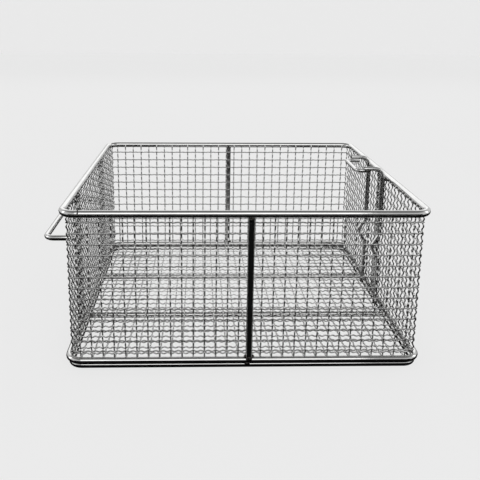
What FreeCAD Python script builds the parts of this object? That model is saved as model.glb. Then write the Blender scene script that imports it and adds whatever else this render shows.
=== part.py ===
"""Rectangular wire basket for a deep fryer, welded from round stainless rods and woven wire cloth.

Millimetres, +Z up, X along the basket, the origin in the middle of its underside.
A 6 mm rim and two stacked base rings hold four walls and a floor of wire cloth. Posts stand
outside the cloth, a hanger loop sticks out of the left wall, and a bracket of thinner wire
inside the right wall is the socket for a lift-out handle.
"""
import FreeCAD, Part
import math
import os
import Sketcher

# Driving dimensions: every one can be changed by itself
SIZES = (
    ("rim_length", 288, "rim along X, between the centres of its wires"),
    ("rim_width", 268, "rim along Y, between the centres of its wires"),
    ("rim_height", 132, "centre of the rim above the underside"),
    ("rim_wire", 6, "diameter of the rim"),
    ("rim_corner", 12, "corner radius of the rim at its centre"),
    ("ring_wire", 5.5, "diameter of the upper base ring"),
    ("skid_wire", 5, "diameter of the lower base ring, which the basket stands on"),
    ("skid_inset", 2, "how far the lower base ring lies inside the upper one"),
    ("bar_wire", 5, "diameter of the floor bars"),
    ("bar_spacing", 90, "between the two floor bars"),
    ("post_wire", 5.5, "diameter of the posts"),
    ("front_post_x", 4, "front post, from the middle of its wall"),
    ("back_post_x", -2, "back post, from the middle of its wall"),
    ("right_post_y", 2, "right post, from the middle of its wall"),
    ("left_post_spacing", 132, "between the two left posts"),
    ("hanger_wire", 5, "diameter of the hanger loop"),
    ("hanger_drop", 46, "hanger loop below the centre of the rim"),
    ("hanger_reach", 31, "hanger loop outside the centre of the rim"),
    ("hanger_bend", 8, "bend radius of the hanger loop"),
    ("socket_wire", 4, "diameter of the handle socket's wires"),
    ("leg_step", 3, "how far each socket leg stands outside its side of the socket loop"),
    ("socket_y", -4, "middle of the handle socket along the right wall"),
    ("kink_top", 55, "upper end of a leg's kink below the centre of the rim"),
    ("kink_height", 23, "height of the kink"),
    ("kink_depth", 7, "how far the kink stands inward"),
    ("kink_bend", 5, "bend radius of the kink"),
    ("hook_bend", 8, "bend radius at the top of a socket leg"),
    ("hook_end", 26, "end of a socket leg's hook inside the centre of the rim"),
    ("loop_rise", 8, "socket loop above the centre of the rim"),
    ("loop_reach", 32, "far side of the socket loop inside the centre of the rim"),
    ("loop_start", 19, "ends of the socket loop inside the centre of the rim"),
    ("loop_width", 44, "between the two sides of the socket loop"),
    ("loop_bend", 5, "bend radius of the socket loop"),
    ("cloth_wire", 1.2, "thickness of the wires of the cloth"),
    ("wall_cell", 18.4, "spacing of the wall's wires, every second one of the cloth"),
    ("floor_cell", 18.4, "spacing of the floor's wires, every second one of the cloth"),
    ("wire_tip", 1, "how far the upright wires pass the centre of the rim"),
    ("edge_gap", 2, "free height between a level wire and the rim or base ring"),
)

# A round wire's section is drawn with flat sides, fewer on the bent thin wires, to keep the number of facets down
THICK_SIDES = 12
THIN_SIDES = 8

doc = FreeCAD.newDocument("fryer_basket")
sheet = doc.addObject("Spreadsheet::Sheet", "Sizes")
for row, (alias, size, meaning) in enumerate(SIZES, 1):
    sheet.set(f"A{row}", meaning)
    sheet.set(f"B{row}", str(size))
    sheet.setAlias(f"B{row}", alias)
doc.recompute()

# Places that several pieces share. The cloth's outer face touches the rim and both rings' inner sides.
FACE_X = "((Sizes.rim_length - Sizes.rim_wire) / 2)"
FACE_Y = "((Sizes.rim_width - Sizes.rim_wire) / 2)"
RING_X = f"({FACE_X} + Sizes.ring_wire / 2)"
RING_Y = f"({FACE_Y} + Sizes.ring_wire / 2)"
RING_CORNER = "(Sizes.rim_corner - Sizes.rim_wire / 2 + Sizes.ring_wire / 2)"
SKID_X = f"({RING_X} - Sizes.skid_inset)"
SKID_Y = f"({RING_Y} - Sizes.skid_inset)"
SKID_CORNER = f"({RING_CORNER} - Sizes.skid_inset)"
SKID_Z = "(Sizes.skid_wire / 2)"
STACK = "((Sizes.ring_wire + Sizes.skid_wire) / 2)"
RING_Z = f"({SKID_Z} + sqrt({STACK} * {STACK} - Sizes.skid_inset * Sizes.skid_inset))"
FLOOR_Z = f"({SKID_Z} + Sizes.bar_wire / 2)"
CLOTH = "(2 * Sizes.cloth_wire)"
POST_X = f"({FACE_X} + Sizes.post_wire / 2)"
POST_Y = f"({FACE_Y} + Sizes.post_wire / 2)"


def value(text):
    """The number that an expression on the sheet's sizes gives now."""
    return float(sheet.evalExpression(text))


def place(piece, x="0", y="0", z="0"):
    """Binds a piece's place to expressions."""
    for axis, text in zip("xyz", (x, y, z)):
        piece.setExpression(f"Placement.Base.{axis}", text)


def new_body(name):
    body = doc.addObject("PartDesign::Body", name)
    body.Label = name
    return body


def sketch_on(body, role, name, offset="0"):
    """A sketch on one of the body's own origin planes, moved along the plane's normal."""
    sketch = body.newObject("Sketcher::SketchObject", name)
    plane = next(piece for piece in body.Origin.OriginFeatures if piece.Role == role)
    sketch.AttachmentSupport = [(plane, "")]
    sketch.MapMode = "FlatFace"
    sketch.setExpression("AttachmentOffset.Base.z", offset)
    return sketch


def bind(sketch, constraint, name, text):
    """Adds a measured constraint and ties its size to an expression."""
    index = sketch.addConstraint(constraint)
    sketch.renameConstraint(index, name)
    sketch.setExpression(f"Constraints.{name}", text)


def pin(sketch, piece, point, name, x, y):
    """Fixes a point of a sketch at two coordinates."""
    for kind, axis, label, text in (("DistanceX", -2, "x", x), ("DistanceY", -1, "y", y)):
        if text == "0":
            sketch.addConstraint(Sketcher.Constraint("PointOnObject", piece, point, axis))
        else:
            along = Sketcher.Constraint(kind, -1, 1, piece, point, value(text))
            bind(sketch, along, f"{name}_{label}", text)


def wire_section(sketch, x, y, diameter, thick):
    """A wire's section, a regular polygon in its circle. A thick wire has a corner to each side, a thin one a flat."""
    count = THICK_SIDES if thick else THIN_SIDES
    first = 0 if thick else math.pi / count
    centre = FreeCAD.Vector(value(x), value(y), 0)
    radius = value(diameter) / 2
    turns = [first + 2 * math.pi * number / count for number in range(count)]
    corners = [centre + FreeCAD.Vector(math.cos(turn), math.sin(turn), 0) * radius for turn in turns]
    ring = sketch.addGeometry(Part.Circle(centre, FreeCAD.Vector(0, 0, 1), radius), True)
    sides = [sketch.addGeometry(Part.LineSegment(a, b)) for a, b in zip(corners, corners[1:] + corners[:1])]
    for side, following in zip(sides, sides[1:] + sides[:1]):
        sketch.addConstraint(Sketcher.Constraint("Coincident", side, 2, following, 1))
        sketch.addConstraint(Sketcher.Constraint("PointOnObject", side, 1, ring))
    for side in sides[1:]:
        sketch.addConstraint(Sketcher.Constraint("Equal", sides[0], side))
    if thick:
        sketch.addConstraint(Sketcher.Constraint("Horizontal", ring, 3, sides[0], 1))
    else:
        sketch.addConstraint(Sketcher.Constraint("Vertical", sides[-1]))
    pin(sketch, ring, 3, "centre", x, y)
    bind(sketch, Sketcher.Constraint("Diameter", ring, value(diameter)), "wire", diameter)


def rectangle(sketch, x, y, width, height):
    """A rectangle from its lower left corner."""
    left, low = value(x), value(y)
    right, high = left + value(width), low + value(height)
    spots = [FreeCAD.Vector(*spot, 0) for spot in ((left, low), (right, low), (right, high), (left, high))]
    sides = [sketch.addGeometry(Part.LineSegment(a, b)) for a, b in zip(spots, spots[1:] + spots[:1])]
    for side, following in zip(sides, sides[1:] + sides[:1]):
        sketch.addConstraint(Sketcher.Constraint("Coincident", side, 2, following, 1))
    for side, kind in zip(sides, ("Horizontal", "Vertical", "Horizontal", "Vertical")):
        sketch.addConstraint(Sketcher.Constraint(kind, side))
    pin(sketch, sides[0], 1, "corner", x, y)
    bind(sketch, Sketcher.Constraint("DistanceX", sides[0], 1, sides[0], 2, right - left), "width", width)
    bind(sketch, Sketcher.Constraint("DistanceY", sides[1], 1, sides[1], 2, high - low), "height", height)


def bent_path(sketch, corners, bends):
    """Straight runs through the corners, with a tangent arc of its own radius at each inner one."""
    spots = [FreeCAD.Vector(value(x), value(y), 0) for x, y in corners]
    up = FreeCAD.Vector(0, 0, 1)
    start = spots[0]
    arcs = []
    runs = []
    for before, corner, after, bend in zip(spots, spots[1:], spots[2:], bends):
        arriving = (corner - before).normalize()
        leaving = (after - corner).normalize()
        turn = arriving.getAngle(leaving)
        radius = value(bend)
        begin = corner - arriving * radius * math.tan(turn / 2)
        finish = corner + leaving * radius * math.tan(turn / 2)
        left = arriving.cross(leaving).z > 0
        centre = begin + up.cross(arriving) * (radius if left else -radius)
        first, last = (begin, finish) if left else (finish, begin)
        angles = [math.atan2(spot.y - centre.y, spot.x - centre.x) for spot in (first, last)]
        runs.append(sketch.addGeometry(Part.LineSegment(start, begin)))
        arc = sketch.addGeometry(Part.ArcOfCircle(Part.Circle(centre, up, radius), *angles))
        arcs.append((arc, (1, 2) if left else (2, 1)))
        start = finish
    runs.append(sketch.addGeometry(Part.LineSegment(start, spots[-1])))
    for number, (arc, ends) in enumerate(arcs):
        arriving, leaving = runs[number], runs[number + 1]
        sketch.addConstraint(Sketcher.Constraint("Tangent", arriving, 2, arc, ends[0]))
        sketch.addConstraint(Sketcher.Constraint("Tangent", arc, ends[1], leaving, 1))
        bend = bends[number]
        bind(sketch, Sketcher.Constraint("Radius", arc, value(bend)), f"bend_{number}", bend)
        corner = sketch.addGeometry(Part.Point(spots[number + 1]), True)
        sketch.addConstraint(Sketcher.Constraint("PointOnObject", corner, 1, arriving))
        sketch.addConstraint(Sketcher.Constraint("PointOnObject", corner, 1, leaving))
        pin(sketch, corner, 1, f"corner_{number}", *corners[number + 1])
    pin(sketch, runs[0], 1, "start", *corners[0])
    pin(sketch, runs[-1], 2, "end", *corners[-1])


def bent_wire(name, path_plane, corners, bends, section_plane, section_offset, section, diameter, thick=False):
    """A round wire bent along a flat path, its section drawn where the path starts."""
    body = new_body(name)
    path = sketch_on(body, path_plane, f"{name}_path")
    bent_path(path, corners, bends)
    profile = sketch_on(body, section_plane, f"{name}_section", section_offset)
    wire_section(profile, *section, diameter, thick)
    pipe = body.newObject("PartDesign::AdditivePipe", f"{name}_wire")
    pipe.Profile = profile
    pipe.Spine = path
    return body


def ring(name, half_x, half_y, corner, diameter, height):
    """A closed rounded rectangle of wire, started and welded in the middle of its front."""
    front = ("0", f"-{half_y}")
    corners = [(half_x, f"-{half_y}"), (half_x, half_y), (f"-{half_x}", half_y), (f"-{half_x}", f"-{half_y}")]
    body = bent_wire(
        name, "XY_Plane", [front, *corners, front], [corner] * 4, "YZ_Plane", "0", (f"-{half_y}", "0"), diameter,
        thick=True)
    place(body, z=height)
    return body


def rod(name, diameter, length, x, y, z, turn=None):
    """A straight round rod, upright unless it is turned."""
    piece = doc.addObject("Part::Prism", name)
    piece.Polygon = THICK_SIDES
    piece.setExpression("Circumradius", f"{diameter} / 2")
    piece.setExpression("Height", length)
    if turn:
        piece.Placement = FreeCAD.Placement(FreeCAD.Vector(), turn)
    place(piece, x, y, z)
    return piece


def coped(name, piece, *seats):
    """A rod with its ends cut to the wires that it is welded to."""
    for number, seat in enumerate(seats, 1):
        cut = doc.addObject("Part::Cut", f"{name}_seat_{number}")
        cut.Base = piece
        cut.Tool = seat
        piece = cut
    piece.Label = name
    return piece


def bars(body, sketch, thickness, count, cell, reverse):
    """One layer of the cloth: a straight wire, repeated along the sketch's own X or Y."""
    pad = body.newObject("PartDesign::Pad", f"{sketch.Name}_wire")
    pad.Profile = sketch
    pad.setExpression("Length", thickness)
    pad.Reversed = reverse
    row = body.newObject("PartDesign::LinearPattern", f"{sketch.Name}_row")
    row.Originals = [pad]
    row.Direction = (sketch, ["H_Axis" if sketch.Name.endswith("upright") else "V_Axis"])
    row.Mode = "Spacing"
    row.setExpression("Offset", cell)
    row.setExpression("Occurrences", count)
    body.Tip = row


def fitting(room, cell):
    """How many wires fit in a room, a cell apart."""
    return f"(floor({room} / {cell}) + 1)"


def wall(name, half, reach, x="0", y="0", turn=0):
    """A wall of cloth, its outer face on the local XZ plane. Its level wires end at reach each side."""
    body = new_body(name)
    body.AllowCompound = True
    foot = f"({FLOOR_Z} + Sizes.cloth_wire)"
    top = "(Sizes.rim_height + Sizes.wire_tip)"
    corner = "(Sizes.rim_corner - Sizes.rim_wire / 2)"
    uprights = fitting(f"(2 * {half} - 2 * {corner} - Sizes.cloth_wire)", "Sizes.wall_cell")
    upright = sketch_on(body, "XZ_Plane", f"{name}_upright")
    first = f"(-({uprights} - 1) * Sizes.wall_cell / 2 - Sizes.cloth_wire / 2)"
    rectangle(upright, first, foot, "Sizes.cloth_wire", f"({top} - {foot})")
    bars(body, upright, "Sizes.cloth_wire", uprights, "Sizes.wall_cell", True)
    low = f"({RING_Z} + Sizes.ring_wire / 2)"
    high = "(Sizes.rim_height - Sizes.rim_wire / 2)"
    levels = fitting(f"({high} - {low} - 2 * Sizes.edge_gap - Sizes.cloth_wire)", "Sizes.wall_cell")
    level = sketch_on(body, "XZ_Plane", f"{name}_level", "-Sizes.cloth_wire")
    lowest = f"(({high} + {low} - ({levels} - 1) * Sizes.wall_cell - Sizes.cloth_wire) / 2)"
    rectangle(level, f"-{reach}", lowest, f"(2 * {reach})", "Sizes.cloth_wire")
    bars(body, level, "Sizes.cloth_wire", levels, "Sizes.wall_cell", True)
    body.Placement = FreeCAD.Placement(FreeCAD.Vector(), FreeCAD.Rotation(FreeCAD.Vector(0, 0, 1), turn))
    place(body, x, y)
    return body


def floor_cloth(name):
    """The floor: wires along Y on the bars and through between the base rings, wires along X on top."""
    body = new_body(name)
    body.AllowCompound = True
    along_y = fitting(f"(2 * ({FACE_X} - {CLOTH} - Sizes.floor_cell / 4))", "Sizes.floor_cell")
    along_x = fitting(f"(2 * ({FACE_Y} - {CLOTH} - Sizes.floor_cell / 4))", "Sizes.floor_cell")
    lower = sketch_on(body, "XY_Plane", f"{name}_upright")
    first = f"(-({along_y} - 1) * Sizes.floor_cell / 2 - Sizes.cloth_wire / 2)"
    rectangle(lower, first, f"-{FACE_Y}", "Sizes.cloth_wire", f"(2 * {FACE_Y})")
    bars(body, lower, "Sizes.cloth_wire", along_y, "Sizes.floor_cell", False)
    upper = sketch_on(body, "XY_Plane", f"{name}_level", "Sizes.cloth_wire")
    first = f"(-({along_x} - 1) * Sizes.floor_cell / 2 - Sizes.cloth_wire / 2)"
    inner = f"({FACE_X} - Sizes.cloth_wire)"
    rectangle(upper, f"-{inner}", first, f"(2 * {inner})", "Sizes.cloth_wire")
    bars(body, upper, "Sizes.cloth_wire", along_x, "Sizes.floor_cell", False)
    place(body, z=FLOOR_Z)
    return body


pieces = []

# The rim and the two base rings
rim = ring("rim", "(Sizes.rim_length / 2)", "(Sizes.rim_width / 2)", "Sizes.rim_corner", "Sizes.rim_wire",
           "Sizes.rim_height")
upper_ring = ring("upper_base_ring", RING_X, RING_Y, RING_CORNER, "Sizes.ring_wire", RING_Z)
lower_ring = ring("lower_base_ring", SKID_X, SKID_Y, SKID_CORNER, "Sizes.skid_wire", SKID_Z)
pieces += [rim, upper_ring, lower_ring]

# Two bars carry the floor, welded between the sides of the lower base ring
ALONG_X = FreeCAD.Rotation(FreeCAD.Vector(0, 1, 0), 90)
for name, side in (("floor_bar_front", "-"), ("floor_bar_back", "")):
    bar = rod(f"{name}_rod", "Sizes.bar_wire", f"(2 * {SKID_X})", f"-{SKID_X}", f"({side}Sizes.bar_spacing / 2)",
              SKID_Z, ALONG_X)
    pieces.append(coped(name, bar, lower_ring))

# Posts stand outside the cloth between the upper base ring and the rim
for name, x, y in (
    ("front_post", "Sizes.front_post_x", f"-{POST_Y}"),
    ("back_post", "Sizes.back_post_x", POST_Y),
    ("right_post", POST_X, "Sizes.right_post_y"),
    ("left_post_front", f"-{POST_X}", "(-Sizes.left_post_spacing / 2)"),
    ("left_post_back", f"-{POST_X}", "(Sizes.left_post_spacing / 2)"),
):
    post = rod(f"{name}_rod", "Sizes.post_wire", f"(Sizes.rim_height - {RING_Z})", x, y, RING_Z)
    pieces.append(coped(name, post, rim, upper_ring))

# The hanger loop, its legs along the inner sides of the left posts
hanger_y = "((Sizes.left_post_spacing - Sizes.post_wire - Sizes.hanger_wire) / 2)"
hanger_x = "(Sizes.rim_length / 2 + Sizes.hanger_reach)"
hanger = bent_wire(
    "hanger_loop", "XY_Plane",
    [(f"-{FACE_X}", f"-{hanger_y}"), (f"-{hanger_x}", f"-{hanger_y}"),
     (f"-{hanger_x}", hanger_y), (f"-{FACE_X}", hanger_y)],
    ["Sizes.hanger_bend"] * 2, "YZ_Plane", f"-{FACE_X}", (f"-{hanger_y}", "0"), "Sizes.hanger_wire")
place(hanger, z="(Sizes.rim_height - Sizes.hanger_drop)")
pieces.append(hanger)

# The handle socket: two kinked legs up the inside of the right wall, hooked inward over the rim's height
leg_x = f"({FACE_X} - {CLOTH} - Sizes.socket_wire / 2)"
leg_foot = f"({FLOOR_Z} + {CLOTH})"
kink_top = "(Sizes.rim_height - Sizes.kink_top)"
leg_y = "(Sizes.loop_width / 2 + Sizes.leg_step)"
hook_step = "sqrt(Sizes.socket_wire * Sizes.socket_wire - Sizes.leg_step * Sizes.leg_step)"
loop_z = "(Sizes.rim_height + Sizes.loop_rise)"
hook_z = f"({loop_z} + {hook_step})"
for name, side in (("socket_leg_front", "-"), ("socket_leg_back", "")):
    leg = bent_wire(
        name, "XZ_Plane",
        [(leg_x, leg_foot), (leg_x, f"({kink_top} - Sizes.kink_height)"),
         (f"({leg_x} - Sizes.kink_depth)", f"({kink_top} - Sizes.kink_height / 2)"), (leg_x, kink_top),
         (leg_x, hook_z), ("(Sizes.rim_length / 2 - Sizes.hook_end)", hook_z)],
        ["Sizes.kink_bend"] * 3 + ["Sizes.hook_bend"], "XY_Plane", leg_foot, (leg_x, "0"), "Sizes.socket_wire")
    place(leg, y=f"(Sizes.socket_y {side or '+'} {leg_y})")
    pieces.append(leg)

# The socket loop under the two hooks
loop_y = "(Sizes.loop_width / 2)"
loop_start = "(Sizes.rim_length / 2 - Sizes.loop_start)"
loop_far = "(Sizes.rim_length / 2 - Sizes.loop_reach)"
loop = bent_wire(
    "socket_loop", "XY_Plane",
    [(loop_start, f"-{loop_y}"), (loop_far, f"-{loop_y}"), (loop_far, loop_y), (loop_start, loop_y)],
    ["Sizes.loop_bend"] * 2, "YZ_Plane", loop_start, (f"-{loop_y}", "0"), "Sizes.socket_wire")
place(loop, y="Sizes.socket_y", z=loop_z)
pieces.append(loop)

# The cloth: front and back reach into the corners, the sides end against them
LONG = f"({FACE_X} - Sizes.cloth_wire)"
SHORT = f"({FACE_Y} - {CLOTH})"
pieces.append(wall("front_mesh", FACE_X, LONG, y=f"-{FACE_Y}"))
pieces.append(wall("back_mesh", FACE_X, LONG, y=FACE_Y, turn=180))
pieces.append(wall("left_mesh", FACE_Y, SHORT, x=f"-{FACE_X}", turn=-90))
pieces.append(wall("right_mesh", FACE_Y, SHORT, x=FACE_X, turn=90))
pieces.append(floor_cloth("floor_mesh"))

doc.recompute()
for item in doc.Objects:
    if {"Invalid", "Error"} & set(item.State):
        raise RuntimeError(f"{item.Label} failed: {item.State}")
for piece in pieces:
    if piece.Shape.isNull() or not piece.Shape.isValid():
        raise RuntimeError(f"{piece.Label} has no valid shape")

os.makedirs("parts", exist_ok=True)
for piece in pieces:
    piece.Shape.exportStep(f"parts/{piece.Label}.step")
    print(f"{piece.Label}: {len(piece.Shape.Solids)} solid, {piece.Shape.Volume:.0f} mm3")
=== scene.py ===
"""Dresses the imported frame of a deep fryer's wire basket: smooth polished rods, welds and the
full woven cloth.

Metres, +Z up. X runs along the basket from the hanger loop to the handle socket, and Y from the
front wall to the back one.
"""
import math

import bmesh
import bpy
from mathutils import Matrix, Vector, noise


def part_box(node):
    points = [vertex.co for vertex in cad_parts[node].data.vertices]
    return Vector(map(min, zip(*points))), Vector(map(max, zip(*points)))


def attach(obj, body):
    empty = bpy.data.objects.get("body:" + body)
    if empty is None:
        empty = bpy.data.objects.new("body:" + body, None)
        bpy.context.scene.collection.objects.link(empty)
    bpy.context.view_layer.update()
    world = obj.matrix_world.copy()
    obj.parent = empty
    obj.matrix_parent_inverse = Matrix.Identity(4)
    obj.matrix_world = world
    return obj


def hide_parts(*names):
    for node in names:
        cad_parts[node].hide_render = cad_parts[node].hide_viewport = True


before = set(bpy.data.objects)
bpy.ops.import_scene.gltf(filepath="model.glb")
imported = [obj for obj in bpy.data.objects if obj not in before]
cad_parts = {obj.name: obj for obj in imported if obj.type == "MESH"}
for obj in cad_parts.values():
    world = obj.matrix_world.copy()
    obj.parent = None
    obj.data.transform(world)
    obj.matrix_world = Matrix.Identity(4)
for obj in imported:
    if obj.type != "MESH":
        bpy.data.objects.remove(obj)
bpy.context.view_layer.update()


# Rim: one length of 6 mm stainless rod, bent to a rounded rectangle and butt-welded shut near the
# front left corner. It is polished before the cloth is welded to its inner side.
class Number:
    """A socket or a number that adds Math nodes when it is used in an expression."""

    def __init__(self, tree, link):
        self.tree, self.link = tree, link

    def math(self, operation, *others):
        return self.node("ShaderNodeMath", dict(enumerate((self, *others))), operation=operation)

    def node(self, kind, sockets, output=0, ramp=None, **settings):
        """Any node: its settings first, then its sockets' values or links. Gives one of its outputs."""
        made = self.tree.nodes.new(kind)
        for setting, choice in settings.items():
            setattr(made, setting, choice)
        if ramp:
            while len(made.color_ramp.elements) < len(ramp):
                made.color_ramp.elements.new(1)
            for stop, (place, color) in zip(made.color_ramp.elements, ramp):
                stop.position, stop.color = place, (*color, 1)
        for socket, given in sockets.items():
            if isinstance(given, Number):
                self.tree.links.new(given.link, made.inputs[socket])
            else:
                made.inputs[socket].default_value = given
        return Number(self.tree, made.outputs[output])

    def __add__(self, other):
        return self.math("ADD", other)

    def __mul__(self, other):
        return self.math("MULTIPLY", other)

    __radd__, __rmul__ = __add__, __mul__

    def blend(self, low, high):
        """A colour between two, by this number."""
        colors = {0: self, 6: (*low, 1), 7: (*high, 1)}
        return self.node("ShaderNodeMix", colors, output=2, data_type="RGBA")


def new_material(name):
    """A material whose shader is joined to its output, its object coordinates and that shader."""
    material = bpy.data.materials.new(name)
    material.use_nodes = True
    tree = material.node_tree
    tree.nodes.clear()
    place = Number(tree, tree.nodes.new("ShaderNodeTexCoord").outputs["Object"])
    shader = tree.nodes.new("ShaderNodeBsdfPrincipled")
    output = tree.nodes.new("ShaderNodeOutputMaterial")
    tree.links.new(shader.outputs[0], output.inputs["Surface"])
    return material, place, shader


MARKS_TO_CLOUD = 9
MARK_DEPTH = 0.0002


def wire_steel(name, dull, bright, roughness, spread, grain, bump):
    """Bare drawn stainless steel: a little cloudy, with fine marks of drawing in its gloss."""
    material, place, shader = new_material(name)
    tree = place.tree
    cloud = place.node("ShaderNodeTexNoise", {"Vector": place, "Scale": grain, "Detail": 4.0})
    marks = {"Vector": place, "Scale": grain * MARKS_TO_CLOUD, "Detail": 3.0}
    fine = place.node("ShaderNodeTexNoise", marks)
    tree.links.new(cloud.blend(dull, bright).link, shader.inputs["Base Color"])
    tree.links.new((fine * spread + (roughness - spread / 2)).link, shader.inputs["Roughness"])
    relief = {"Strength": bump, "Distance": MARK_DEPTH, "Height": fine}
    surface = place.node("ShaderNodeBump", relief)
    tree.links.new(surface.link, shader.inputs["Normal"])
    shader.inputs["Metallic"].default_value = 1
    return material


def bent_wire(name, corners, bends, diameter, closed=False):
    """A round wire along straight runs, with an arc of its own radius at each corner it turns."""
    curve = bpy.data.curves.new(name, "CURVE")
    curve.dimensions = "3D"
    curve.bevel_depth = diameter / 2
    curve.bevel_resolution = 6
    curve.resolution_u = 8
    curve.use_fill_caps = True
    spots = [Vector(corner) for corner in corners]
    marks = [] if closed else [(spots[0], None, None)]
    turned = range(len(spots)) if closed else range(1, len(spots) - 1)
    for number, bend in zip(turned, bends):
        corner = spots[number]
        arriving = (corner - spots[number - 1]).normalized()
        leaving = (spots[(number + 1) % len(spots)] - corner).normalized()
        turn = arriving.angle(leaving)
        setback = bend * math.tan(turn / 2)
        # Handles of this length make the span between two points an arc
        pull = bend * math.tan(turn / 4) * 4 / 3
        begin, end = corner - arriving * setback, corner + leaving * setback
        marks += [(begin, None, begin + arriving * pull), (end, end - leaving * pull, None)]
    if not closed:
        marks.append((spots[-1], None, None))
    spline = curve.splines.new("BEZIER")
    spline.use_cyclic_u = closed
    spline.bezier_points.add(len(marks) - 1)
    for point, (place, before, after) in zip(spline.bezier_points, marks):
        point.co = place
        point.handle_left_type = "FREE" if before else "VECTOR"
        point.handle_right_type = "FREE" if after else "VECTOR"
        if before:
            point.handle_left = before
        if after:
            point.handle_right = after
    piece = bpy.data.objects.new(name, curve)
    bpy.context.scene.collection.objects.link(piece)
    return piece


def fit_piece(piece, material, slot, *nodes):
    """Gives a finished piece its material and its body, and hides the CAD nodes it stands for. Its slot
    is not used.
    """
    piece.data.materials.append(material)
    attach(piece, "root")
    if nodes:
        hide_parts(*nodes)


def rounded_ring(name, node, diameter, bend, material):
    """A closed rounded rectangle of wire that takes its outline from its CAD node."""
    low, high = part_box(node)
    inset = Vector((diameter / 2, diameter / 2, 0))
    left, front, _ = low + inset
    right, back, _ = high - inset
    height = low.z + diameter / 2
    corners = [(left, front, height), (right, front, height), (right, back, height), (left, back, height)]
    piece = bent_wire(name, corners, [bend] * 4, diameter, closed=True)
    fit_piece(piece, material, "polished_rod", node)
    return corners


ROD_STEEL = wire_steel(
    "polished_rod_steel",
    dull=(0.48, 0.48, 0.475),
    bright=(0.64, 0.64, 0.635),
    roughness=0.09,
    spread=0.06,
    grain=60,
    bump=0.06,
)
RIM_WIRE, RIM_BEND = 0.006, 0.012
rim_corners = rounded_ring("rim_rod", "rim", RIM_WIRE, RIM_BEND, ROD_STEEL)
RIM_Z = rim_corners[0][2]

# Base rings: two more rods bent like the rim and stacked. The upper one clamps the cloth's foot from
# outside, the lower one lies 2 mm further in and is what the basket stands on.
RING_WIRE, RING_BEND = 0.0055, 0.01175
SKID_WIRE, SKID_BEND = 0.005, 0.00975
ring_corners = rounded_ring("upper_ring_rod", "upper_base_ring", RING_WIRE, RING_BEND, ROD_STEEL)
skid_corners = rounded_ring("lower_ring_rod", "lower_base_ring", SKID_WIRE, SKID_BEND, ROD_STEEL)
RING_Z = ring_corners[0][2]

# Floor bars: two straight 5 mm rods across the basket under the cloth, their ends coped and welded
# to the sides of the lower base ring.
BAR_WIRE = 0.005
bar_ends = []
for node in ("floor_bar_front", "floor_bar_back"):
    low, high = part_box(node)
    middle = (low + high) / 2
    ends = [(skid_corners[side][0], middle.y, middle.z) for side in (0, 1)]
    bar_ends += ends
    fit_piece(bent_wire(f"{node}_rod", ends, (), BAR_WIRE), ROD_STEEL, "polished_rod", node)

# Posts: five straight 5.5 mm rods outside the cloth, between the upper base ring and the rim. One
# stands on each of the front, back and right walls and two stand beside the hanger on the left.
POST_WIRE = 0.0055
posts = []
for node in ("front_post", "back_post", "right_post", "left_post_front", "left_post_back"):
    low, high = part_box(node)
    middle = (low + high) / 2
    posts.append(middle)
    ends = [(middle.x, middle.y, height) for height in (RING_Z, RIM_Z)]
    fit_piece(bent_wire(f"{node}_rod", ends, (), POST_WIRE), ROD_STEEL, "polished_rod", node)

# Hanger loop: a 5 mm rod bent to a flat U that stands level out of the left wall. Its legs reach in
# to the cloth and are welded along the inner sides of the two left posts.
HANGER_WIRE, HANGER_BEND = 0.005, 0.008
low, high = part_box("hanger_loop")
half = high.y - HANGER_WIRE / 2
reach = low.x + HANGER_WIRE / 2
height = (low.z + high.z) / 2
hanger_corners = [
    (high.x, -half, height),
    (reach, -half, height),
    (reach, half, height),
    (high.x, half, height),
]
hanger_piece = bent_wire("hanger_rod", hanger_corners, (HANGER_BEND, HANGER_BEND), HANGER_WIRE)
fit_piece(hanger_piece, ROD_STEEL, "polished_rod", "hanger_loop")

# Handle socket: two 4 mm wires run up the inside of the right wall, each with a kink that catches the
# handle, and hook inward over a short loop that lies level just above the rim.
SOCKET_WIRE = 0.004
KINK_TOP, KINK_HEIGHT, KINK_DEPTH = 0.055, 0.023, 0.007
KINK_BEND, HOOK_BEND, LOOP_BEND = 0.005, 0.008, 0.005
leg_feet = []
hooks = []
for node in ("socket_leg_front", "socket_leg_back"):
    low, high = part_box(node)
    side = (low.y + high.y) / 2
    upright = high.x - SOCKET_WIRE / 2
    kink = RIM_Z - KINK_TOP
    hook = high.z - SOCKET_WIRE / 2
    leg_feet.append(Vector((upright, side, low.z)))
    hooks.append(Vector((low.x, side, hook)))
    corners = [
        (upright, side, low.z),
        (upright, side, kink - KINK_HEIGHT),
        (upright - KINK_DEPTH, side, kink - KINK_HEIGHT / 2),
        (upright, side, kink),
        (upright, side, hook),
        (low.x, side, hook),
    ]
    bends = (KINK_BEND, KINK_BEND, KINK_BEND, HOOK_BEND)
    leg_piece = bent_wire(f"{node}_wire", corners, bends, SOCKET_WIRE)
    fit_piece(leg_piece, ROD_STEEL, "polished_rod", node)
low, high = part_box("socket_loop")
near, far = low.y + SOCKET_WIRE / 2, high.y - SOCKET_WIRE / 2
reach = low.x + SOCKET_WIRE / 2
height = (low.z + high.z) / 2
loop_corners = [
    (high.x, near, height),
    (reach, near, height),
    (reach, far, height),
    (high.x, far, height),
]
loop_piece = bent_wire("socket_loop_wire", loop_corners, (LOOP_BEND, LOOP_BEND), SOCKET_WIRE)
fit_piece(loop_piece, ROD_STEEL, "polished_rod", "socket_loop")
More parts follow.
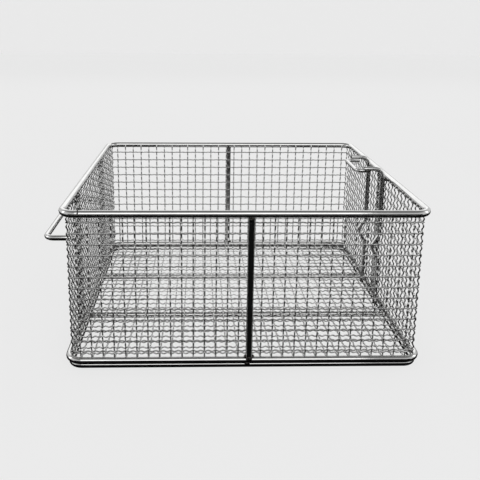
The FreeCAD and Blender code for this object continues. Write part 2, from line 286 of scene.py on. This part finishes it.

# Welds: small uneven beads of filler where rods meet. The posts have one in each corner under the rim
# and over the ring, the rings are tacked together, and the bars, hanger and socket sit in their own.
# Painted reflection: the beads are coloured near-black for the dark room that their polished faces
# mirror, far darker than the welds' own steel.
WELD_STEEL_PAINTED_DARK = wire_steel(
    "weld_steel_painted_dark",
    dull=(0.015, 0.014, 0.013),
    bright=(0.09, 0.086, 0.08),
    roughness=0.22,
    spread=0.20,
    grain=500,
    bump=0.5,
)
UNEVENNESS, LUMPS, LUMP_SHIFT = 0.30, 1.6, 900
TOP_OUT, TOP_DOWN = 0.0007, 0.0006
FOOT_OUT, FOOT_DOWN, FOOT_SIDE = 0.0009, 0.0010, 0.0026
TACK_BESIDE, TACK_OUT, TACK_ALONG = 0.0014, 0.0008, 0.098
BAR_WELD_IN, BAR_WELD_SIDE = 0.0026, 0.0027
HANGER_WELD_RISE = 0.0024
SOCKET_WELD_OUT, SOCKET_WELD_RISE = 0.0022, 0.0004
LAP_ALONG, LAP_SIDE, LAP_DOWN = 0.0032, 0.0004, 0.0020
RIM_WELD_X = -0.130


def weld_beads(name, size, spots):
    """One bead at each spot, of the same three half sizes but with lumps of its own."""
    form = bmesh.new()
    for spot in spots:
        bead = bmesh.ops.create_icosphere(form, subdivisions=3, radius=1)["verts"]
        for vert in bead:
            vert.co *= 1 + UNEVENNESS * noise.noise(vert.co * LUMPS + spot * LUMP_SHIFT)
        bmesh.ops.scale(form, vec=size, verts=bead)
        bmesh.ops.translate(form, vec=spot, verts=bead)
    for face in form.faces:
        face.smooth = True
    mesh = bpy.data.meshes.new(name)
    form.to_mesh(mesh)
    form.free()
    piece = bpy.data.objects.new(name, mesh)
    bpy.context.scene.collection.objects.link(piece)
    fit_piece(piece, WELD_STEEL_PAINTED_DARK, "polished_rod")


def both(spot, shift):
    """Two places, a shift to either side of a spot."""
    return [spot + Vector(shift), spot - Vector(shift)]


def around(middle, x, y):
    """Four places about a middle, as far from it along X and along Y as given."""
    return [Vector((middle.x + a * x, middle.y + b * y, middle.z)) for a in (-1, 1) for b in (-1, 1)]


rim_under, ring_top = RIM_Z - RIM_WIRE / 2, RING_Z + RING_WIRE / 2
top_beads, foot_beads, side_beads = [], [], []
for post in posts:
    if abs(post.y) > abs(post.x):
        outward = Vector((0, math.copysign(1, post.y), 0))
    else:
        outward = Vector((math.copysign(1, post.x), 0, 0))
    along = outward.cross((0, 0, 1))
    top = Vector((post.x, post.y, rim_under))
    bottom = Vector((post.x, post.y, ring_top))
    top_beads.append(top + outward * TOP_OUT - Vector((0, 0, TOP_DOWN)))
    foot_beads.append(bottom + outward * FOOT_OUT - Vector((0, 0, FOOT_DOWN)))
    side_beads += both(bottom, along * FOOT_SIDE)
weld_beads("post_top_welds", (0.0026, 0.0026, 0.0030), top_beads)
weld_beads("post_foot_welds", (0.0029, 0.0027, 0.0030), foot_beads)
weld_beads("post_side_welds", (0.0017, 0.0017, 0.0019), side_beads)
tack_height = (RING_Z + skid_corners[0][2]) / 2
tack_y, tack_x = ring_corners[2][1], ring_corners[1][0]
tacks = []
for post in posts[:2]:
    edge = math.copysign(tack_y + TACK_OUT, post.y)
    tacks.append(Vector((post.x - TACK_BESIDE, edge, tack_height)))
for post in posts[2:]:
    tacks.append(Vector((math.copysign(tack_x, post.x), post.y, tack_height)))
tacks += around(Vector((0, 0, tack_height)), tack_x, TACK_ALONG)
weld_beads("ring_tacks", (0.0021, 0.0021, 0.0017), tacks)
bar_beads = []
for end in bar_ends:
    corner = Vector((math.copysign(abs(end[0]) - BAR_WELD_IN, end[0]), end[1], end[2]))
    bar_beads += both(corner, (0, BAR_WELD_SIDE, 0))
weld_beads("bar_welds", (0.0016, 0.0016, 0.0016), bar_beads)
hanger_beads = []
for side in (-1, 1):
    seam = Vector((-abs(posts[3].x), side * (half + HANGER_WIRE / 2), hanger_corners[0][2]))
    hanger_beads += both(seam, (0, 0, HANGER_WELD_RISE))
weld_beads("hanger_welds", (0.0024, 0.0014, 0.0016), hanger_beads)
socket_beads = [end + Vector((0, 0, SOCKET_WELD_RISE)) for end in leg_feet]
for end in leg_feet:
    socket_beads.append(Vector((end.x + SOCKET_WELD_OUT, end.y, RIM_Z + SOCKET_WELD_RISE)))
weld_beads("socket_welds", (0.0021, 0.0026, 0.0017), socket_beads)
lap_beads = []
for hook in hooks:
    side = -1 if hook.y < (near + far) / 2 else 1
    lap_beads.append(Vector((hook.x + LAP_ALONG, hook.y + LAP_SIDE * side, hook.z - LAP_DOWN)))
weld_beads("hook_welds", (0.0028, 0.0016, 0.0014), lap_beads)
weld_beads("rim_weld", (0.0012, 0.00325, 0.00325), [Vector((RIM_WELD_X, rim_corners[0][1], RIM_Z))])

# Cloth: stainless wire 1.2 mm thick, woven plain at 9.2 mm, so each opening is 8 mm. Each wire has
# a crimp at its crossings and two more between them. The walls stand inside the rods, and the
# floor lies on the bars.
CLOTH_WIRE = 0.0012
PITCH = 0.0092
CRIMPS = 3
WALL_STEPS, FLOOR_STEPS = 12, 9
END_GAP = 0.3
WALL_SWING, FLOOR_SWING = 0.0006, 0.0007
face_x = rim_corners[1][0] - RIM_WIRE / 2 - CLOTH_WIRE
face_y = rim_corners[2][1] - RIM_WIRE / 2 - CLOTH_WIRE
low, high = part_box("floor_mesh")
floor_z = (low.z + high.z) / 2
WALL_STEEL = wire_steel(
    "wall_cloth_steel",
    dull=(0.42, 0.42, 0.415),
    bright=(0.64, 0.64, 0.635),
    roughness=0.09,
    spread=0.06,
    grain=90,
    bump=0.08,
)
# Painted light: the floor's cloth is the same wire as the walls' but coloured paler, for the light from
# above that its upward faces catch.
FLOOR_STEEL_PAINTED_LIT = wire_steel(
    "floor_cloth_steel_painted_lit",
    dull=(0.66, 0.66, 0.655),
    bright=(0.84, 0.84, 0.835),
    roughness=0.22,
    spread=0.10,
    grain=90,
    bump=0.10,
)


def crimped(start, stop, crossing, swing, steps):
    """Places along one crimped wire and its swing there: half a wave for each crimp.

    END_GAP, in steps, keeps the places between clear of the wire's two ends.
    """
    first = math.ceil((start - crossing) / PITCH * steps + END_GAP)
    last = math.floor((stop - crossing) / PITCH * steps - END_GAP)
    between = [crossing + PITCH * step / steps for step in range(first, last + 1)]
    for along in (start, *between, stop):
        yield along, swing * math.cos(CRIMPS * math.pi * (along - crossing) / PITCH)


def woven(name, node, material, place, uprights, levels, span, rise, swing, steps, bent=(),
          bent_rise=(0, 0)):
    """Plain cloth as one curve, a spline for each wire. place puts along, up and out in the frame.

    The bent wires stand in the corners, where two walls meet, and crimp across them.
    """
    curve = bpy.data.curves.new(name, "CURVE")
    curve.dimensions = "3D"
    curve.bevel_depth = CLOTH_WIRE / 2
    curve.bevel_resolution = 1
    curve.use_fill_caps = True

    def add(points):
        spline = curve.splines.new("POLY")
        spline.points.add(len(points) - 1)
        for point, spot in zip(spline.points, points):
            point.co = (*place(*spot), 1)

    for number, side in enumerate(uprights):
        wave = crimped(*rise, levels[0], swing * (-1) ** number, steps)
        add([(side, up, out) for up, out in wave])
    level_swing = swing - CLOTH_WIRE
    for number, up in enumerate(levels):
        wave = crimped(*span, uprights[0], level_swing * (-1) ** number, steps)
        add([(along, up, out) for along, out in wave])
    for side in bent:
        outside = math.copysign(1, side)
        diagonal = crimped(*bent_rise, levels[0], -swing * math.sqrt(0.5), steps)
        add([(side + outside * out, up, out) for up, out in diagonal])
    piece = bpy.data.objects.new(name, curve)
    bpy.context.scene.collection.objects.link(piece)
    fit_piece(piece, material, "bright_cloth", node)


def repeats(first, count):
    """As many places as given, a pitch apart."""
    return [first + PITCH * number for number in range(count)]


FIRST_LEVEL = 0.0133
PAST_RIM_MIDDLE = 0.001
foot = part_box("front_mesh")[0].z
rise = (foot, RIM_Z + PAST_RIM_MIDDLE)
levels = repeats(FIRST_LEVEL, 13)
columns = repeats(-14.5 * PITCH, 30)
rows = repeats(PITCH - face_y, 27)
folds = {"bent": (-face_x, face_x), "bent_rise": (ring_top, rim_under)}
for side, way in (("front", -1), ("back", 1)):
    woven(
        f"{side}_cloth",
        f"{side}_mesh",
        WALL_STEEL,
        lambda along, up, out: (along, way * (face_y + out), up),
        columns, levels, (-face_x, face_x), rise, WALL_SWING, WALL_STEPS, **folds,
    )
for side, way in (("left", -1), ("right", 1)):
    woven(
        f"{side}_cloth",
        f"{side}_mesh",
        WALL_STEEL,
        lambda along, up, out: (way * (face_x + out), along, up),
        rows, levels, (-face_y, face_y), rise, WALL_SWING, WALL_STEPS,
    )
woven(
    "floor_cloth",
    "floor_mesh",
    FLOOR_STEEL_PAINTED_LIT,
    lambda along, up, out: (along, up, floor_z + out),
    columns, rows, (-face_x, face_x), (low.y, high.y), FLOOR_SWING, FLOOR_STEPS,
)

# Stage: a pale floor and backdrop, soft lamps above the front and behind, and dim ones at the
# sides. Black cards on the floor round the basket, and one behind the camera, show only in
# reflections and put the dark lines into the rods.
PALE = (0.865, 0.865, 0.865)
EVEN_SHARE = 0.85
stage, place, shader = new_material("pale_sweep")
path = place.tree.nodes.new("ShaderNodeLightPath")
seen = Number(place.tree, path.outputs["Is Camera Ray"])
for ray in ("Is Glossy Ray", "Is Transmission Ray"):
    seen = seen.math("MAXIMUM", Number(place.tree, path.outputs[ray]))
shader.inputs["Base Color"].default_value = (*PALE, 1)
shader.inputs["Roughness"].default_value = 0.9
shader.inputs["Specular IOR Level"].default_value = 0.1
even = place.node("ShaderNodeEmission", {"Color": (*PALE, 1), "Strength": 1.0})
output = next(node for node in place.tree.nodes if node.type == "OUTPUT_MATERIAL")
layers = {0: seen * EVEN_SHARE, 1: Number(place.tree, shader.outputs[0]), 2: even}
mixed = place.node("ShaderNodeMixShader", layers)
place.tree.links.new(mixed.link, output.inputs["Surface"])


def staged(name, mesh, material):
    """A piece of the stage, which isn't part of the basket."""
    piece = bpy.data.objects.new(name, mesh)
    bpy.context.scene.collection.objects.link(piece)
    piece.data.materials.append(material)
    return piece


def card(name, middle, size, tilt, material):
    """A flat rectangular card, tilted about X."""
    form = bmesh.new()
    bmesh.ops.create_grid(form, x_segments=1, y_segments=1, size=0.5)
    bmesh.ops.scale(form, vec=(*size, 1), verts=form.verts)
    bmesh.ops.rotate(form, matrix=Matrix.Rotation(tilt, 3, "X"), verts=form.verts)
    bmesh.ops.translate(form, vec=middle, verts=form.verts)
    mesh = bpy.data.meshes.new(name)
    form.to_mesh(mesh)
    form.free()
    return staged(name, mesh, material)


card("floor", (0, 0, 0), (9, 9), 0, stage)
card("backdrop", (0, 4.4, 1.2), (9, 2.4), math.pi / 2, stage)

CARD_LIFT = 0.0004
black, _, shader = new_material("black_card")
shader.inputs["Base Color"].default_value = (0.01, 0.01, 0.01, 1)
shader.inputs["Roughness"].default_value = 1
shader.inputs["Specular IOR Level"].default_value = 0
for name, middle, size, tilt in (
    ("card_behind_camera", (0, -1.0, 0.17), (2.6, 0.34), math.pi / 2),
    ("card_front", (0, -0.405, CARD_LIFT), (1.56, 0.75), 0),
    ("card_back", (0, 0.445, CARD_LIFT), (1.56, 0.65), 0),
    ("card_left", (-0.435, 0.045, CARD_LIFT), (0.69, 0.15), 0),
    ("card_right", (0.435, 0.045, CARD_LIFT), (0.69, 0.15), 0),
    # Painted shade: this strip stands for the floor's shadow under the back bar, as the rods' reflections
    # see it.
    ("card_under_back_bar", (0, 0.045, CARD_LIFT), (0.24, 0.014), 0),
):
    piece = card(name, middle, size, tilt, black)
    piece.visible_camera = False
    piece.visible_diffuse = False
    piece.visible_shadow = False


def lamp(name, spot, target, size, power):
    """A soft rectangular lamp, turned towards its target and unseen by the camera."""
    light = bpy.data.lights.new(name, "AREA")
    light.shape = "RECTANGLE"
    light.size, light.size_y = size
    light.energy = power
    piece = bpy.data.objects.new(name, light)
    piece.location = spot
    piece.rotation_euler = (Vector(target) - Vector(spot)).to_track_quat("-Z", "Y").to_euler()
    bpy.context.scene.collection.objects.link(piece)
    piece.visible_camera = False


lamp("soft_front", (0, -1.25, 1.05), (0, 0, 0.07), (1.2, 1.1), 5)
lamp("strip_left", (-1.5, 0.0, 0.6), (0, 0, 0.07), (0.4, 0.9), 2)
lamp("strip_right", (1.5, 0.0, 0.6), (0, 0, 0.07), (0.4, 0.9), 2)
lamp("soft_back", (0, 2.0, 1.2), (0, 0, 0.07), (3.0, 1.2), 8)

# The room is as pale as the backdrop near the horizon and dim overhead.
world = bpy.data.worlds.new("studio")
world.use_nodes = True
tree = world.node_tree
toward = Number(tree, tree.nodes.new("ShaderNodeTexCoord").outputs["Generated"])
height = toward.node("ShaderNodeSeparateXYZ", {"Vector": toward}, output=2)
room = [(0.0, PALE), (0.52, PALE), (0.80, (0.32, 0.32, 0.32)), (1.0, (0.20, 0.20, 0.20))]
shade = height.node("ShaderNodeValToRGB", {"Fac": height}, ramp=room)
tree.links.new(shade.link, tree.nodes["Background"].inputs["Color"])
bpy.context.scene.world = world

# Camera: at the photograph's place and angle, a little above the rim and left of the middle, and
# shifted as the photograph's framing is. FOCAL is in widths of the picture.
FOCAL = 619.6 / 480
POSITION = (-0.03685, -0.59093, 0.27969)
SHIFT = (0.05208, -0.17292)
PITCH_DOWN, YAW, ROLL = (math.radians(angle) for angle in (12.642, 1.495, 0.449))
level = math.cos(PITCH_DOWN)
ahead = Vector((math.sin(YAW) * level, math.cos(YAW) * level, -math.sin(PITCH_DOWN)))
right = Vector((math.cos(YAW), -math.sin(YAW), 0))
up = right.cross(ahead)
across = right * math.cos(ROLL) + up * math.sin(ROLL)
above = up * math.cos(ROLL) - right * math.sin(ROLL)
view = bpy.data.cameras.new("view")
view.sensor_width = 36
view.lens = view.sensor_width * FOCAL
view.shift_x, view.shift_y = SHIFT
view.clip_start, view.clip_end = 0.01, 50
camera = bpy.data.objects.new("view", view)
turned = Matrix((across, above, -ahead)).transposed().to_4x4()
camera.matrix_world = Matrix.Translation(POSITION) @ turned
bpy.context.scene.collection.objects.link(camera)
bpy.context.scene.camera = camera
bpy.context.scene.view_settings.view_transform = "Standard"
